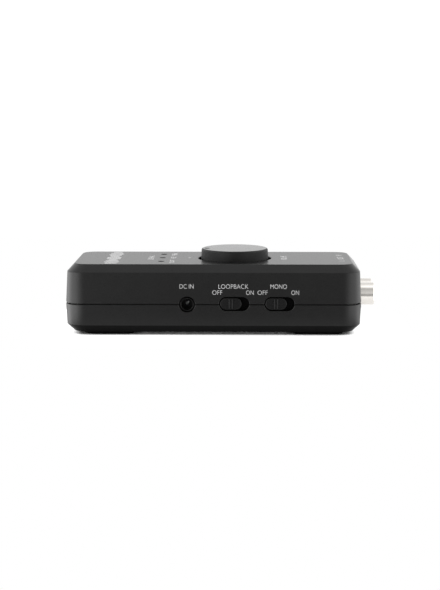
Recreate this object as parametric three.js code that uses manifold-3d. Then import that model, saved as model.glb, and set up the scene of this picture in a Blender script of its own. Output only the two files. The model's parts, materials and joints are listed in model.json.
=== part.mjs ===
// A palm-sized desktop audio interface: a two-part plastic case with a sunken volume knob, two
// slide switches and a DC socket on its long front wall, two phono sockets on its right end, and a
// round device port and a headset socket on its left end.
//
// Millimetres, +Z up. +X runs along the case towards the phono sockets and -Y is the front wall.
// The origin is under the middle of the whole object, on the surface that its foot pads stand on.

import * as THREE from "three";
import { mergeVertices } from "three/addons/utils/BufferGeometryUtils.js";
import Module from "manifold-3d";

const wasm = await Module();
wasm.setup();

// ---------------------------------------------------------------- driving dimensions

const CASE = {
  length: 106, // at the seam, where the case is widest
  width: 44,
  wall: 2,
  cornerRadius: 6, // in plan, at the seam
  faceCornerRadius: 4.6, // in plan, at the flat top and underside
  topDraft: 0.58, // how far each wall leans in from the seam up to the top chamfer
  topChamfer: { inset: 2.58, height: 2.75 },
  bottomDraft: 0.34,
  bottomChamfer: { inset: 2.6, height: 2.7 },
};

const FOOT_LIFT = 1; // clear height under the case
const UNDERSIDE = FOOT_LIFT;
const SEAM = UNDERSIDE + 10.35;
const TOP = UNDERSIDE + 24.35;
const TOP_CHAMFER = TOP - CASE.topChamfer.height;
const BOTTOM_CHAMFER = UNDERSIDE + CASE.bottomChamfer.height;
const SEAM_GAP = 0.4; // shadow line between the two shells

const FRONT = -CASE.width / 2;
const RIGHT = CASE.length / 2;
const LEFT = -RIGHT;

const TONGUE = { thickness: 0.9, clearance: 0.3, height: 1.2 };

const FOOT = { length: 18, width: 35, radius: 3, centreX: 37.5, recess: 0.5, glue: 0.1 };

const BOARD = { length: 98, width: 37, radius: 3, thickness: 1.6, underside: 6.2 };
const BOARD_TOP = BOARD.underside + BOARD.thickness;
const SEAT = 0.05; // solder film between a component and the board

const KNOB = {
  x: 7.5,
  baseDiameter: 24.9,
  topDiameter: 24.3,
  rise: 3.85, // above the case
  edgeRadius: 1.1,
  skin: 1.8,
  hubDiameter: 11,
  pointer: { diameter: 1.7, depth: 0.5, radius: 10.2, angle: 187 },
};
const WELL = { diameter: 26.8, depth: 3, floor: 1.6, wall: 1.6, floorGap: 0.4, mouthChamfer: 0.35 };
const WELL_FLOOR = TOP - WELL.depth;

const POT = { length: 9.6, width: 11, height: 6.8, bushing: 7, shaft: 6, flatDepth: 1.5 };
const SHAFT_BORE = POT.shaft + 0.4;

const SWITCH = {
  centres: { loopback: 7.45, mono: 23.5 },
  z: SEAM + 0.2,
  apertureLength: 10.7,
  apertureHeight: 5,
  capLength: 7.9,
  capHeight: 4.6,
  travel: 2.4,
  endGap: 0.2,
  capRecess: 0.25, // the cap's face lies this far inside the case's outline, its ribs level with it
  ribs: { pitch: 1.1, width: 0.38 },
  flangeLength: 13.4,
  flangeHeight: 6.8,
  flangeThickness: 1,
};

const DC = { x: -9.3, z: SEAM, hole: 5.7, noseOuter: 5.06, bore: 4.1, pin: 1.35 };

const PHONO = {
  pitch: 10.6,
  z: 13,
  outer: 8.25,
  inner: 7,
  hole: 8.9,
  endX: 58.3,
  insulator: 5.6,
  contactHole: 3.3,
};

const PORT = { y: 5.5, z: 14.2, hole: 12.2, nose: 11.5, bore: 9.6, shield: 9.2, core: 7.9 };
const HEADSET = { y: -9.5, z: 11.9, hole: 6.7, ferrule: 6, bore: 3.6 };

const LED = { x: -19, pitch: 10.4, hole: 2.3, pipe: 1.9, flange: 3.2 };

const SCREW = { x: 34, y: 13.5, head: 4.8, headHeight: 1.8, shank: 2.6, hole: 3.2, boss: 6.4 };
const BOARD_SCREW = { x: 22.5, y: 10, head: 3.8, headHeight: 1.2, shank: 1.8, hole: 2.4, post: 5 };

const WIDE_ROUND = 56; // sides of the knob and its well
const ROUND = 32;
const SMALL_ROUND = 16;
const CORNER_STEPS = 6;

// ---------------------------------------------------------------- materials

const material = (hex, roughness, metalness = 0) =>
  new THREE.MeshStandardMaterial({ color: hex, roughness, metalness });

const MATERIALS = {
  casePlastic: material(0x232324, 0.55),
  knobPlastic: material(0x1f1f20, 0.5),
  sliderPlastic: material(0x1b1b1c, 0.6),
  jackPlastic: material(0x101011, 0.45),
  rubber: material(0x0d0d0d, 0.85),
  nickel: material(0xd9d3c8, 0.2, 1),
  steel: material(0x8d9093, 0.35, 1),
  gold: material(0xc9a24a, 0.25, 1),
  whitePlastic: material(0xe9e7e1, 0.35),
  redPlastic: material(0xb3161c, 0.35),
  board: material(0x11402a, 0.4),
  chip: material(0x161618, 0.5),
  can: material(0xb9bcc0, 0.3, 1),
  lens: material(0x2a2c30, 0.2),
};

// ---------------------------------------------------------------- solids

// A closed geometry as a solid that can be joined and cut.
function solid(geometry) {
  const bare = geometry.clone();
  bare.deleteAttribute("normal");
  bare.deleteAttribute("uv");
  const merged = mergeVertices(bare, 1e-4);
  return new wasm.Manifold(
    new wasm.Mesh({
      numProp: 3,
      vertProperties: merged.attributes.position.array,
      triVerts: new Uint32Array(merged.index.array),
    }),
  );
}

function geometryOf(made) {
  const { numProp, numVert, vertProperties, triVerts } = made.getMesh();
  const position = new Float32Array(numVert * 3);
  for (let i = 0; i < numVert; i++) {
    position.set(vertProperties.subarray(i * numProp, i * numProp + 3), i * 3);
  }
  const geometry = new THREE.BufferGeometry();
  geometry.setAttribute("position", new THREE.BufferAttribute(position, 3));
  geometry.setIndex(new THREE.BufferAttribute(triVerts, 1));
  geometry.computeVertexNormals();
  return geometry;
}

const join = (first, ...others) => others.reduce((sum, other) => sum.add(solid(other)), solid(first));
const cut = (body, ...tools) => tools.reduce((rest, tool) => rest.subtract(solid(tool)), body);

// ---------------------------------------------------------------- shapes

const box = (x, y, z, at) => new THREE.BoxGeometry(x, y, z).translate(...at);

// A box that stands on the height z.
const block = (x, y, height, at) => box(x, y, height, [at[0], at[1], at[2] + height / 2]);

// A round bar between two heights, upright.
const post = (diameter, from, to, x, y, sides = SMALL_ROUND) =>
  new THREE.CylinderGeometry(diameter / 2, diameter / 2, to - from, sides)
    .rotateX(Math.PI / 2)
    .translate(x, y, (from + to) / 2);

// A turned solid about +Z from [radius, height] points that run up the outside.
const turned = (profile, sides = ROUND) =>
  new THREE.LatheGeometry(profile.map(([r, h]) => new THREE.Vector2(r, h)), sides).rotateX(Math.PI / 2);

function roundedRectangle(length, width, radius) {
  const x = length / 2;
  const y = width / 2;
  const shape = new THREE.Shape();
  shape.moveTo(-x + radius, -y);
  shape.lineTo(x - radius, -y);
  shape.absarc(x - radius, -y + radius, radius, -Math.PI / 2, 0);
  shape.lineTo(x, y - radius);
  shape.absarc(x - radius, y - radius, radius, 0, Math.PI / 2);
  shape.lineTo(-x + radius, y);
  shape.absarc(-x + radius, y - radius, radius, Math.PI / 2, Math.PI);
  shape.lineTo(-x, -y + radius);
  shape.absarc(-x + radius, -y + radius, radius, Math.PI, Math.PI * 1.5);
  return shape;
}

const slab = (shape, depth, curveSegments = CORNER_STEPS) =>
  new THREE.ExtrudeGeometry(shape, { depth, bevelEnabled: false, curveSegments });

// Turn a solid modelled along +Z so that it runs towards the front, right or left of the case.
const towardsFront = (geometry) => geometry.rotateX(Math.PI / 2);
const towardsRight = (geometry) => geometry.rotateX(Math.PI / 2).rotateZ(Math.PI / 2);
const towardsLeft = (geometry) => geometry.rotateX(Math.PI / 2).rotateZ(-Math.PI / 2);

const bar = (diameter, length, sides = ROUND) =>
  new THREE.CylinderGeometry(diameter / 2, diameter / 2, length, sides)
    .rotateX(Math.PI / 2)
    .translate(0, 0, length / 2);

const tube = (outer, inner, length, sides = ROUND) =>
  turned(
    [
      [inner / 2, 0],
      [outer / 2, 0],
      [outer / 2, length],
      [inner / 2, length],
      [inner / 2, 0],
    ],
    sides,
  );

// A closed solid through rounded rectangles, one for each level, listed from the bottom up.
function loft(levels) {
  const ring = ({ z, halfX, halfY, radius }) => {
    const corners = [
      [halfX - radius, halfY - radius],
      [radius - halfX, halfY - radius],
      [radius - halfX, radius - halfY],
      [halfX - radius, radius - halfY],
    ];
    return corners.flatMap(([x, y], corner) =>
      Array.from({ length: CORNER_STEPS + 1 }, (_, step) => {
        const angle = (corner + step / CORNER_STEPS) * (Math.PI / 2);
        return [x + radius * Math.cos(angle), y + radius * Math.sin(angle), z];
      }),
    );
  };
  const count = 4 * (CORNER_STEPS + 1);
  const position = levels.flatMap((level) => ring(level).flat());
  const index = [];
  for (let level = 0; level < levels.length - 1; level++) {
    for (let i = 0; i < count; i++) {
      const a = level * count + i;
      const b = level * count + ((i + 1) % count);
      index.push(a, b, b + count, a, b + count, a + count);
    }
  }
  const lid = (levels.length - 1) * count;
  for (let i = 1; i < count - 1; i++) {
    index.push(0, i + 1, i, lid, lid + i, lid + i + 1);
  }
  const geometry = new THREE.BufferGeometry();
  geometry.setAttribute("position", new THREE.Float32BufferAttribute(position, 3));
  geometry.setIndex(index);
  return geometry;
}

// ---------------------------------------------------------------- case outline

// The outline of the case at one height, moved inwards by an inset.
function outline(z, lean, radius, inset = 0) {
  return {
    z,
    halfX: CASE.length / 2 - lean - inset,
    halfY: CASE.width / 2 - lean - inset,
    radius: Math.max(radius - inset, 1.2),
  };
}

const upperLean = (z) => (CASE.topDraft * (z - SEAM)) / (TOP_CHAMFER - SEAM);
const lowerLean = (z) => (CASE.bottomDraft * (SEAM - z)) / (SEAM - BOTTOM_CHAMFER);

const TOP_INSET = CASE.topDraft + CASE.topChamfer.inset;
const BOTTOM_INSET = CASE.bottomDraft + CASE.bottomChamfer.inset;

// A band around the seam that reaches from one inset to another, for the tongue and its rebate.
const seamBand = (from, to, low, high) =>
  cut(
    solid(loft([outline(low, 0, CASE.cornerRadius, from), outline(high, 0, CASE.cornerRadius, from)])),
    loft([
      outline(low - 1, 0, CASE.cornerRadius, to),
      outline(high + 1, 0, CASE.cornerRadius, to),
    ]),
  );

// Both shells share the cut-outs in the walls, because the front ones straddle the seam.
function wallOpenings() {
  const depth = 6; // through the wall and the tongue behind it
  const stadium = roundedRectangle(
    SWITCH.apertureLength,
    SWITCH.apertureHeight,
    SWITCH.apertureHeight / 2,
  );
  const switches = Object.values(SWITCH.centres).map((x) =>
    towardsFront(slab(stadium, depth, CORNER_STEPS)).translate(x, FRONT + depth - 1, SWITCH.z),
  );
  const phonos = [-1, 1].map((side) =>
    towardsRight(bar(PHONO.hole, depth)).translate(RIGHT + 1 - depth, (side * PHONO.pitch) / 2, PHONO.z),
  );
  return [
    ...switches,
    ...phonos,
    towardsFront(bar(DC.hole, depth)).translate(DC.x, FRONT + depth - 1, DC.z),
    towardsLeft(bar(PORT.hole, depth)).translate(LEFT - 1 + depth, PORT.y, PORT.z),
    towardsLeft(bar(HEADSET.hole, depth)).translate(LEFT - 1 + depth, HEADSET.y, HEADSET.z),
  ];
}

const corners = (x, y) => [
  [-x, -y],
  [x, -y],
  [x, y],
  [-x, y],
];

// ---------------------------------------------------------------- case

function topShell() {
  const rim = SEAM + SEAM_GAP / 2;
  const ceiling = TOP - CASE.wall;
  const skin = loft([
    outline(rim, upperLean(rim), CASE.cornerRadius),
    outline(TOP_CHAMFER, CASE.topDraft, CASE.cornerRadius - CASE.topDraft),
    outline(TOP, TOP_INSET, CASE.faceCornerRadius),
  ]);
  const hollow = loft([
    outline(rim - 1, 0, CASE.cornerRadius, CASE.wall),
    outline(TOP_CHAMFER - 0.8, CASE.topDraft, CASE.cornerRadius - CASE.topDraft, CASE.wall),
    outline(ceiling, TOP_INSET - 0.8, CASE.faceCornerRadius, CASE.wall),
  ]);
  const rebate = seamBand(
    CASE.wall - TONGUE.thickness - TONGUE.clearance,
    CASE.wall + 1,
    rim - 1,
    SEAM + TONGUE.height + TONGUE.clearance,
  );
  const bossFoot = SEAM + 0.3;
  const pilotTop = SEAM + 8;
  const cup = post(WELL.diameter + 2 * WELL.wall, WELL_FLOOR - WELL.floor, TOP - 1, KNOB.x, 0, ROUND);
  const bosses = corners(SCREW.x, SCREW.y).map(([x, y]) => post(SCREW.boss, bossFoot, TOP - 1, x, y));
  const wellMouth = turned([
    [0, -0.01],
    [WELL.diameter / 2, -0.01],
    [WELL.diameter / 2 + WELL.mouthChamfer + 0.01, WELL.mouthChamfer],
    [0, WELL.mouthChamfer],
  ]).translate(KNOB.x, 0, TOP - WELL.mouthChamfer + 0.01);
  const raw = [cup, ...bosses].reduce(
    (sum, extra) => sum.add(solid(extra)),
    cut(solid(skin), hollow).subtract(rebate),
  );
  return cut(
    raw,
    post(WELL.diameter, WELL_FLOOR, TOP + 1, KNOB.x, 0, WIDE_ROUND),
    wellMouth,
    post(POT.bushing + 1, WELL_FLOOR - WELL.floor - 1, WELL_FLOOR + 1, KNOB.x, 0),
    ...[-1, 0, 1].map((n) => post(LED.hole, ceiling - 1, TOP + 1, LED.x, n * LED.pitch)),
    ...corners(SCREW.x, SCREW.y).map(([x, y]) => post(SCREW.hole, bossFoot - 1, pilotTop, x, y)),
    ...wallOpenings(),
  );
}

function bottomShell() {
  const rim = SEAM - SEAM_GAP / 2;
  const floor = UNDERSIDE + CASE.wall;
  const skin = loft([
    outline(UNDERSIDE, BOTTOM_INSET, CASE.faceCornerRadius),
    outline(BOTTOM_CHAMFER, CASE.bottomDraft, CASE.cornerRadius - CASE.bottomDraft),
    outline(rim, lowerLean(rim), CASE.cornerRadius),
  ]);
  const hollow = loft([
    outline(floor, BOTTOM_INSET - 0.8, CASE.faceCornerRadius, CASE.wall),
    outline(BOTTOM_CHAMFER + 0.8, CASE.bottomDraft, CASE.cornerRadius - CASE.bottomDraft, CASE.wall),
    outline(rim + 1, 0, CASE.cornerRadius, CASE.wall),
  ]);
  const tongue = seamBand(CASE.wall - TONGUE.thickness, CASE.wall, rim - 1, SEAM + TONGUE.height);
  const screwPosts = corners(SCREW.x, SCREW.y).map(([x, y]) =>
    post(SCREW.boss, floor - 0.5, rim, x, y),
  );
  const boardPosts = corners(BOARD_SCREW.x, BOARD_SCREW.y).map(([x, y]) =>
    post(BOARD_SCREW.post, floor - 0.5, BOARD.underside - SEAT, x, y),
  );
  const padRecess = roundedRectangle(FOOT.length + 0.6, FOOT.width + 0.6, FOOT.radius + 0.3);
  const headSeat = floor + 1.6;
  const raw = [...screwPosts, ...boardPosts].reduce(
    (sum, extra) => sum.add(solid(extra)),
    cut(solid(skin), hollow).add(tongue),
  );
  return cut(
    raw,
    ...[-1, 1].map((side) =>
      slab(padRecess, FOOT.recess + 1).translate(side * FOOT.centreX, 0, UNDERSIDE - 1),
    ),
    ...corners(SCREW.x, SCREW.y).flatMap(([x, y]) => [
      post(SCREW.hole, 0, SEAM + 1, x, y),
      post(SCREW.head + 0.6, 0, headSeat, x, y),
    ]),
    ...corners(BOARD_SCREW.x, BOARD_SCREW.y).map(([x, y]) =>
      post(BOARD_SCREW.hole, floor + 0.4, BOARD_TOP, x, y),
    ),
    ...wallOpenings(),
  );
}

const footPad = () =>
  slab(roundedRectangle(FOOT.length, FOOT.width, FOOT.radius), UNDERSIDE + FOOT.recess - FOOT.glue);

// A pan-head screw that is driven upwards, its head at the given height.
function screw(head, headHeight, shank, length) {
  const body = solid(
    turned(
      [
        [0, 0],
        [head / 2 - 0.3, 0],
        [head / 2, 0.3],
        [head / 2, headHeight],
        [shank / 2, headHeight],
        [shank / 2, headHeight + length - 1],
        [shank / 4, headHeight + length],
        [0, headHeight + length],
      ],
      12,
    ),
  );
  const slot = (x, y) => box(x, y, 1.6, [0, 0, 0]);
  return cut(body, slot(head * 0.55, 0.7), slot(0.7, head * 0.55));
}

// ---------------------------------------------------------------- volume control

const KNOB_BASE = WELL_FLOOR + WELL.floorGap;
const KNOB_TOP = TOP + KNOB.rise;

function volumeKnob() {
  const base = KNOB.baseDiameter / 2;
  const top = KNOB.topDiameter / 2;
  const edge = KNOB.edgeRadius;
  const edgeSteps = 4;
  const rounded = Array.from({ length: edgeSteps + 1 }, (_, step) => {
    const angle = (step / edgeSteps) * (Math.PI / 2);
    return [top - edge + edge * Math.cos(angle), KNOB_TOP - edge + edge * Math.sin(angle)];
  });
  const hub = KNOB.hubDiameter / 2;
  const ceiling = KNOB_TOP - KNOB.skin;
  const cap = turned(
    [
      [0, KNOB_BASE + 0.6],
      [hub, KNOB_BASE + 0.6],
      [hub, ceiling],
      [top - KNOB.skin, ceiling],
      [base - KNOB.skin, KNOB_BASE],
      [base - 0.25, KNOB_BASE],
      [base, KNOB_BASE + 0.25],
      ...rounded,
      [0, KNOB_TOP],
    ],
    WIDE_ROUND,
  );
  const { diameter, depth, radius, angle } = KNOB.pointer;
  const turn = THREE.MathUtils.degToRad(angle);
  const dimple = post(
    diameter,
    KNOB_TOP - depth,
    KNOB_TOP + 1,
    radius * Math.cos(turn),
    radius * Math.sin(turn),
  );
  const bore = cut(
    solid(post(SHAFT_BORE, KNOB_BASE, ceiling, 0, 0)),
    box(SHAFT_BORE, SHAFT_BORE, 20, [POT.shaft - POT.flatDepth + 0.4, 0, KNOB_TOP]),
  );
  return cut(solid(cap), dimple).subtract(bore);
}

const POT_TOP = BOARD_TOP + POT.height;

function potShaft() {
  const tip = KNOB_TOP - KNOB.skin - 0.3;
  return cut(
    solid(post(POT.shaft, POT_TOP + 0.3, tip, 0, 0)),
    block(POT.shaft, POT.shaft, 20, [POT.shaft - POT.flatDepth, 0, WELL_FLOOR]),
  );
}

function potBushing() {
  const outer = POT.bushing / 2;
  const inner = POT.shaft / 2 + 0.2;
  return turned(
    [
      [inner, POT_TOP + SEAT],
      [outer + 1, POT_TOP + SEAT],
      [outer + 1, POT_TOP + 1],
      [outer, POT_TOP + 1],
      [outer, WELL_FLOOR - 0.6],
      [inner, WELL_FLOOR - 0.6],
      [inner, POT_TOP + SEAT],
    ],
    SMALL_ROUND,
  );
}

const potBody = () => block(POT.length, POT.width, POT.height - SEAT, [0, 0, BOARD_TOP + SEAT]);

// ---------------------------------------------------------------- slide switches

const CAP_OFFSET = -(SWITCH.apertureLength - SWITCH.capLength) / 2 + SWITCH.endGap; // at OFF
const FLANGE_FRONT = FRONT + CASE.wall + 0.25;
const FLANGE_BACK = FLANGE_FRONT + SWITCH.flangeThickness;
const LEVER = { width: 2, height: 2, length: 3.4, tip: FLANGE_BACK + 0.2 };
const SWITCH_BODY = { length: 9, depth: 4, height: 5.6, front: LEVER.tip + LEVER.length - 1.2 };

// Cap, ribs, hidden flange and the fork that grips the switch's lever, centred on the cap.
function slider() {
  const face = FRONT + SWITCH.capRecess;
  const capShape = roundedRectangle(SWITCH.capLength, SWITCH.capHeight, SWITCH.capHeight / 2);
  const flangeShape = roundedRectangle(SWITCH.flangeLength, SWITCH.flangeHeight, 1.2);
  const forkDepth = 1.6;
  const rib = (side) =>
    box(SWITCH.ribs.width, SWITCH.capRecess + 0.3, SWITCH.capHeight - 0.5, [
      (side * SWITCH.ribs.pitch) / 2,
      FRONT + (SWITCH.capRecess + 0.3) / 2,
      0,
    ]);
  const prong = (side) =>
    box(1, forkDepth + 0.4, 3, [
      side * (LEVER.width / 2 + 0.75),
      FLANGE_BACK + (forkDepth - 0.4) / 2,
      0,
    ]);
  return join(
    towardsFront(slab(capShape, FLANGE_BACK - 0.2 - face, CORNER_STEPS)).translate(
      0,
      FLANGE_BACK - 0.2,
      0,
    ),
    towardsFront(slab(flangeShape, SWITCH.flangeThickness, 2)).translate(0, FLANGE_BACK, 0),
    rib(-1),
    rib(1),
    prong(-1),
    prong(1),
  );
}

const switchLever = () =>
  box(LEVER.width, LEVER.length, LEVER.height, [0, LEVER.tip + LEVER.length / 2, 0]);

// The metal-framed switch on the board, with the slot that its lever slides in.
function switchBody() {
  const { length, depth, height, front } = SWITCH_BODY;
  return cut(
    solid(block(length, depth, height - SEAT, [0, front + depth / 2, BOARD_TOP + SEAT])),
    box(LEVER.width + SWITCH.travel + 0.8, 4, LEVER.height + 0.5, [0, front - 0.3, SWITCH.z]),
  );
}

// ---------------------------------------------------------------- sockets

// The coaxial power socket: a box on the board with a round nose in the case's hole.
function dcSocket() {
  const face = FRONT + 0.35;
  const bodyFront = FRONT + CASE.wall + 0.6;
  const bodyDepth = 8.6;
  const boreDepth = 8;
  const width = 7;
  const height = DC.z + 3.2 - BOARD_TOP - SEAT;
  return cut(
    join(
      block(width, bodyDepth, height, [0, bodyFront + bodyDepth / 2, BOARD_TOP + SEAT]),
      towardsFront(bar(DC.noseOuter, bodyFront + 1 - face)).translate(0, bodyFront + 1, DC.z),
    ),
    towardsFront(bar(DC.bore, boreDepth + 1)).translate(0, face + boreDepth, DC.z),
    box(2.4, 2, 1.2, [0, bodyFront + 5, DC.z + 3.2]),
  );
}

// The centre pin, its tip rounded, standing in the socket's bore.
const dcPin = () =>
  towardsFront(
    turned(
      [
        [0, 0],
        [DC.pin / 2, 0],
        [DC.pin / 2, 5.8],
        [DC.pin / 3, 6.3],
        [0, 6.45],
      ],
      SMALL_ROUND,
    ),
  ).translate(0, FRONT + 8, DC.z);

const dcContact = () => box(1.6, 4, 0.4, [0, FRONT + 6.1, DC.z + DC.bore / 2 - 0.43]);

const PHONO_BLOCK = { front: RIGHT - CASE.wall - 0.5, depth: 9, width: 21, height: 11 };

// One moulded block carries both phono sockets.
function phonoBlock() {
  const { front, depth, width, height } = PHONO_BLOCK;
  return cut(
    solid(block(depth, width, height, [front - depth / 2, 0, BOARD_TOP + SEAT])),
    ...[-1, 1].map((side) =>
      towardsRight(bar(PHONO.insulator - 1, 4)).translate(
        front - 3,
        (side * PHONO.pitch) / 2,
        PHONO.z,
      ),
    ),
  );
}

// The plated outer contact that a phono plug's ring grips.
function phonoBarrel() {
  const start = PHONO_BLOCK.front + SEAT;
  const length = PHONO.endX - start;
  const outer = PHONO.outer / 2;
  const inner = PHONO.inner / 2;
  const edge = 0.3;
  return towardsRight(
    turned([
      [inner, 0],
      [outer, 0],
      [outer, length - edge],
      [outer - edge, length],
      [inner, length],
      [inner, 0],
    ]),
  ).translate(start, 0, 0);
}

function phonoInsulator() {
  const start = PHONO_BLOCK.front + SEAT;
  return towardsRight(
    tube(PHONO.insulator, PHONO.contactHole, PHONO.endX - 0.6 - start, SMALL_ROUND),
  ).translate(start, 0, 0);
}

const phonoContact = () =>
  towardsRight(tube(PHONO.contactHole - 0.4, PHONO.contactHole - 1, 9, SMALL_ROUND)).translate(
    PHONO_BLOCK.front - 2.8,
    0,
    0,
  );

const PORT_FACE = LEFT + 0.6;
const PORT_BACK = LEFT + 14;

// The device port's housing: a block with a round nose, bored for its shield and core.
function portHousing() {
  const blockFront = LEFT + CASE.wall + 0.6;
  const width = 14;
  const height = 12.6;
  const boreDepth = 8;
  return cut(
    join(
      block(PORT_BACK - blockFront, width, height, [
        (blockFront + PORT_BACK) / 2,
        PORT.y,
        BOARD_TOP + SEAT,
      ]),
      towardsLeft(bar(PORT.nose, blockFront + 1 - PORT_FACE)).translate(
        blockFront + 1,
        PORT.y,
        PORT.z,
      ),
    ),
    towardsLeft(bar(PORT.bore, boreDepth + 1)).translate(PORT_FACE + boreDepth, PORT.y, PORT.z),
  );
}

const portShield = () =>
  towardsLeft(tube(PORT.shield, PORT.shield - 0.5, 6.8)).translate(
    PORT_FACE + 7.4,
    PORT.y,
    PORT.z,
  );

// The core that holds the eight contacts, with a keyway and a hole for each pin of the plug.
function portCore() {
  const length = 7;
  const start = PORT_FACE + 7.5;
  const pinHole = 1.1;
  const rows = [
    { height: 1.9, across: [-1.3, 1.3] },
    { height: 0.2, across: [-2.7, -0.9, 0.9, 2.7] },
    { height: -1.6, across: [-1.9, 1.9] },
  ];
  const holes = rows.flatMap(({ height, across }) =>
    across.map((y) =>
      towardsLeft(bar(pinHole, 6, 8)).translate(start - length + 5, PORT.y + y, PORT.z + height),
    ),
  );
  return cut(
    solid(towardsLeft(bar(PORT.core, length)).translate(start, PORT.y, PORT.z)),
    box(10, 2.2, 1.2, [start - length, PORT.y, PORT.z - PORT.core / 2 + 0.3]),
    ...holes,
  );
}

// The headset socket's body, ferrule and tip contact.
function headsetBody() {
  const front = LEFT + CASE.wall + 0.6;
  const depth = 12;
  const width = 7;
  const height = HEADSET.z + 3.2 - BOARD_TOP - SEAT;
  return cut(
    solid(block(depth, width, height, [front + depth / 2, HEADSET.y, BOARD_TOP + SEAT])),
    towardsLeft(bar(HEADSET.bore + 0.4, depth)).translate(front + depth - 2, HEADSET.y, HEADSET.z),
    box(6, 2, 1.2, [front + 7, HEADSET.y, HEADSET.z + 3.2]),
  );
}

const headsetFerrule = () =>
  towardsLeft(tube(HEADSET.ferrule, HEADSET.bore, CASE.wall + 0.2)).translate(
    LEFT + CASE.wall + 0.5,
    HEADSET.y,
    HEADSET.z,
  );

const headsetContact = () =>
  box(4.2, 1.4, 0.3, [LEFT + 9, HEADSET.y, HEADSET.z + HEADSET.bore / 2 - 0.2]);

// ---------------------------------------------------------------- electronics

function mainBoard() {
  const blank = slab(roundedRectangle(BOARD.length, BOARD.width, BOARD.radius), BOARD.thickness);
  return cut(
    solid(blank.translate(0, 0, BOARD.underside)),
    ...corners(SCREW.x, SCREW.y).map(([x, y]) => post(SCREW.boss + 0.8, 0, SEAM, x, y)),
    ...corners(BOARD_SCREW.x, BOARD_SCREW.y).map(([x, y]) => post(BOARD_SCREW.hole, 0, SEAM, x, y)),
  );
}

const onBoard = (x, y) => [x, y, BOARD_TOP + SEAT];

const chip = (side, height, x, y) => block(side, side, height, onBoard(x, y));

const capacitor = (diameter, height, x, y) =>
  post(diameter, BOARD_TOP + SEAT, BOARD_TOP + SEAT + height, x, y);

const led = (y) => block(1.6, 1, 0.7, onBoard(LED.x, y));

// A clear rod that carries an indicator's light from the board up to the top face.
function lightPipe(y) {
  const low = BOARD_TOP + 1;
  const ceiling = TOP - CASE.wall;
  return turned(
    [
      [0, low],
      [LED.pipe / 2, low],
      [LED.pipe / 2, ceiling - 1.2],
      [LED.flange / 2, ceiling - 1],
      [LED.flange / 2, ceiling - 0.1],
      [LED.pipe / 2, ceiling - 0.1],
      [LED.pipe / 2, TOP - 0.15],
      [0, TOP - 0.15],
    ],
    SMALL_ROUND,
  ).translate(LED.x, y, 0);
}

// ---------------------------------------------------------------- assembly

const unit = new THREE.Group();

function place(name, shape, finish, at = [0, 0, 0]) {
  const mesh = new THREE.Mesh(shape.isBufferGeometry ? shape : geometryOf(shape), MATERIALS[finish]);
  mesh.name = name;
  mesh.position.set(...at);
  unit.add(mesh);
}

place("top_shell", topShell(), "casePlastic");
place("bottom_shell", bottomShell(), "casePlastic");
place("foot_pad_left", footPad(), "rubber", [-FOOT.centreX, 0, 0]);
place("foot_pad_right", footPad(), "rubber", [FOOT.centreX, 0, 0]);

place("volume_knob", volumeKnob(), "knobPlastic", [KNOB.x, 0, 0]);
place("volume_pot_shaft", potShaft(), "steel", [KNOB.x, 0, 0]);
place("volume_pot_bushing", potBushing(), "steel", [KNOB.x, 0, 0]);
place("volume_pot_body", potBody(), "steel", [KNOB.x, 0, 0]);

for (const [name, centre] of Object.entries(SWITCH.centres)) {
  place(`${name}_slider`, slider(), "sliderPlastic", [centre + CAP_OFFSET, 0, SWITCH.z]);
  place(`${name}_switch_lever`, switchLever(), "jackPlastic", [centre + CAP_OFFSET, 0, SWITCH.z]);
  place(`${name}_switch_body`, switchBody(), "steel", [centre, 0, 0]);
}

place("dc_socket_body", dcSocket(), "jackPlastic", [DC.x, 0, 0]);
place("dc_socket_pin", dcPin(), "nickel", [DC.x, 0, 0]);
place("dc_socket_contact", dcContact(), "nickel", [DC.x, 0, 0]);

place("phono_block", phonoBlock(), "jackPlastic");
for (const [name, side, insulator] of [
  ["front", -1, "whitePlastic"],
  ["rear", 1, "redPlastic"],
]) {
  const at = [0, (side * PHONO.pitch) / 2, PHONO.z];
  place(`phono_barrel_${name}`, phonoBarrel(), "nickel", at);
  place(`phono_insulator_${name}`, phonoInsulator(), insulator, at);
  place(`phono_contact_${name}`, phonoContact(), "gold", at);
}

place("device_port_housing", portHousing(), "jackPlastic");
place("device_port_shield", portShield(), "nickel");
place("device_port_core", portCore(), "jackPlastic");

place("headset_socket_body", headsetBody(), "jackPlastic");
place("headset_socket_ferrule", headsetFerrule(), "nickel");
place("headset_socket_contact", headsetContact(), "gold");

place("main_board", mainBoard(), "board");
place("controller_chip", chip(9, 1.4, -29, -3), "chip");
place("codec_chip", chip(7, 1.2, 22, 1.5), "chip");
place("headphone_amp_chip", chip(4.4, 1, -26.5, -14.5), "chip");
place("clock_crystal", block(5, 3.2, 1.2, onBoard(-29, 7.5)), "can");
place("power_inductor", chip(6.4, 3, -9, 0), "chip");
place("input_capacitor_front", capacitor(5, 7, 33.5, -5), "can");
place("input_capacitor_rear", capacitor(5, 7, 33.5, 5), "can");
place("power_capacitor_small", capacitor(5, 7, -9, 9), "can");
place("power_capacitor_large", capacitor(6.3, 8, -1, 12), "can");

for (const [name, n] of [
  ["front", -1],
  ["middle", 0],
  ["rear", 1],
]) {
  place(`level_led_${name}`, led(n * LED.pitch), "whitePlastic");
  place(`level_light_pipe_${name}`, lightPipe(n * LED.pitch), "lens");
}

const CASE_SCREW_HEAD = UNDERSIDE + CASE.wall + 1.6 - SCREW.headHeight - SEAT;
corners(SCREW.x, SCREW.y).forEach(([x, y], i) => {
  const made = screw(SCREW.head, SCREW.headHeight, SCREW.shank, 13.5);
  place(`case_screw_${i + 1}`, made, "steel", [x, y, CASE_SCREW_HEAD]);
});

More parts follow.
